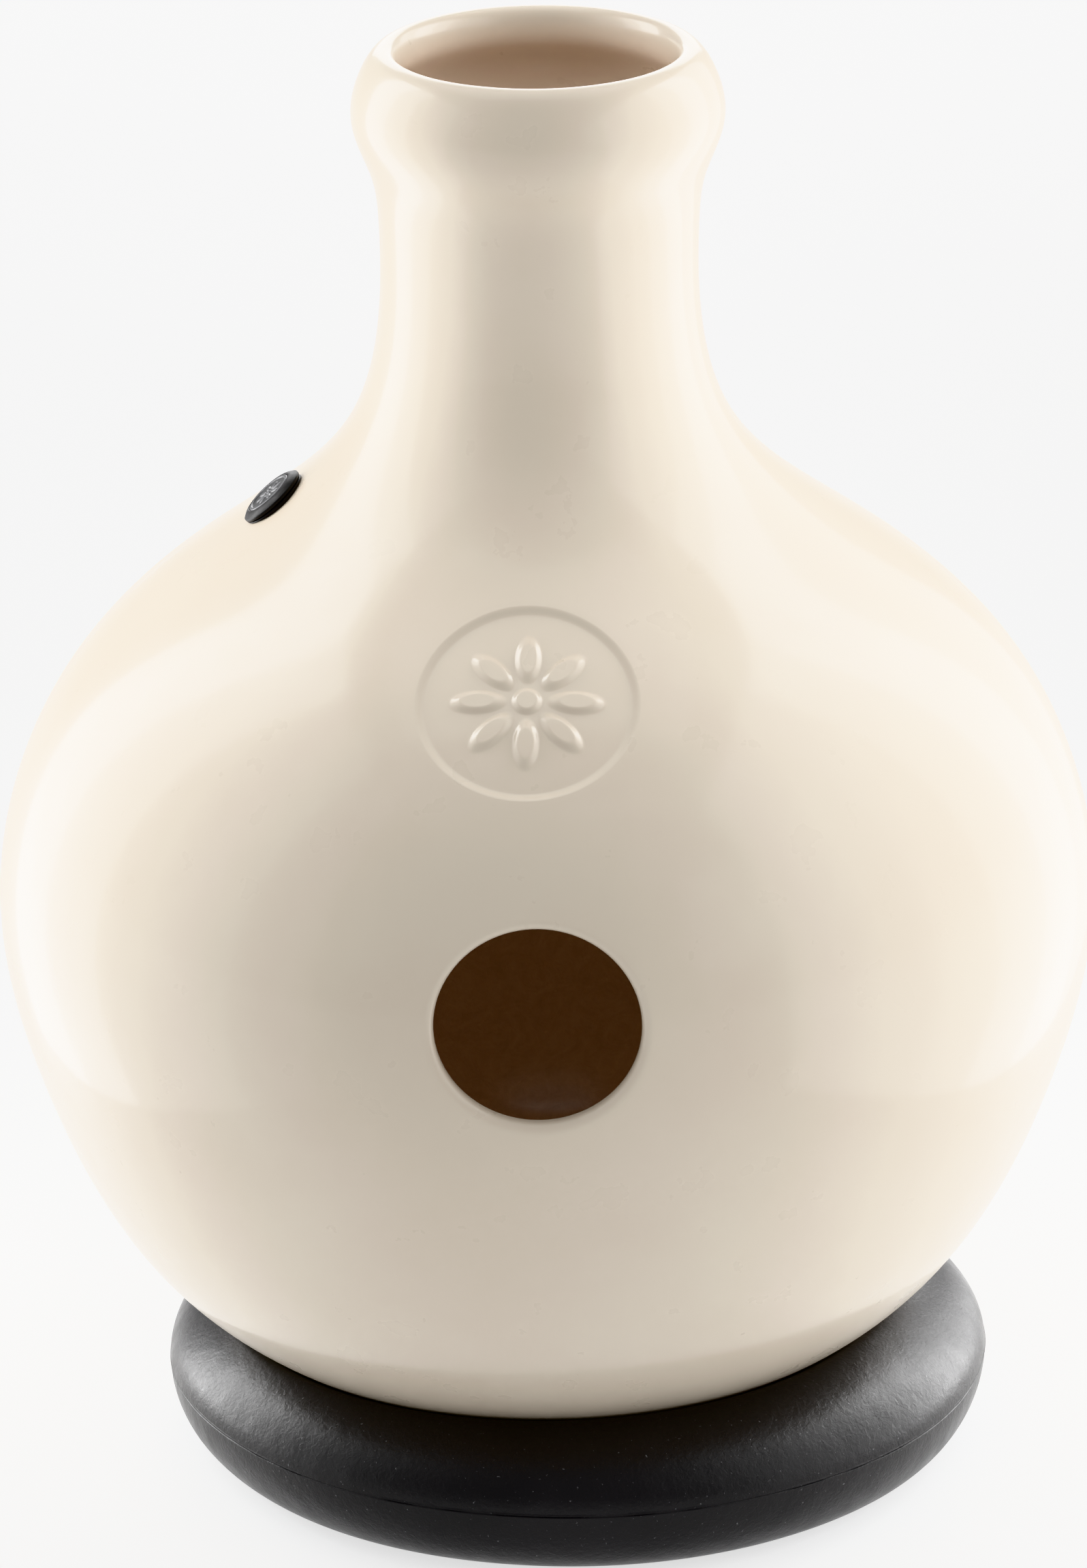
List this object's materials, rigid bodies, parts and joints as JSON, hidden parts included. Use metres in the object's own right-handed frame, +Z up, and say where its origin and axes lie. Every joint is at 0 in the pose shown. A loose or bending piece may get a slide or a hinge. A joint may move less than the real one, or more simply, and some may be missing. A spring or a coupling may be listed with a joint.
{
  "type": "pot drum",
  "caption": "Bottle-shaped laminate pot drum with a round sound hole in its belly and a plugged port, resting in a black foam ring.",
  "frame": {"origin": "on the drum's axis, at the height of the surface that the ring stands on", "axes": "+Z up along the drum's axis, -Y towards the side with the sound hole, -X towards the port"},
  "size_m": [0.3576, 0.357, 0.4744],
  "materials": {
    "shell": "gloss",
    "tape": "resin-wetted weave",
    "rubber": "satin",
    "badge": "satin",
    "foam": "satin self-skinned foam"
  },
  "bodies": {
    "ring": {"ring_cushion": "foam"},
    "drum": {"shell_front": "shell", "shell_back": "shell", "joint_tape": "tape", "port_grommet": "rubber"},
    "plug": {"port_plug": "rubber", "plug_badge": "badge"}
  },
  "joints": [
    {"name": "drum_lift", "type": "slide", "parent": "ring", "child": "drum", "axis": [0, 0, 1], "range_m": [0, 0.15]},
    {"name": "plug_pull", "type": "slide", "parent": "drum", "child": "plug", "axis": [-0.6561, 0, 0.7547], "range_m": [0, 0.03]}
  ]
}
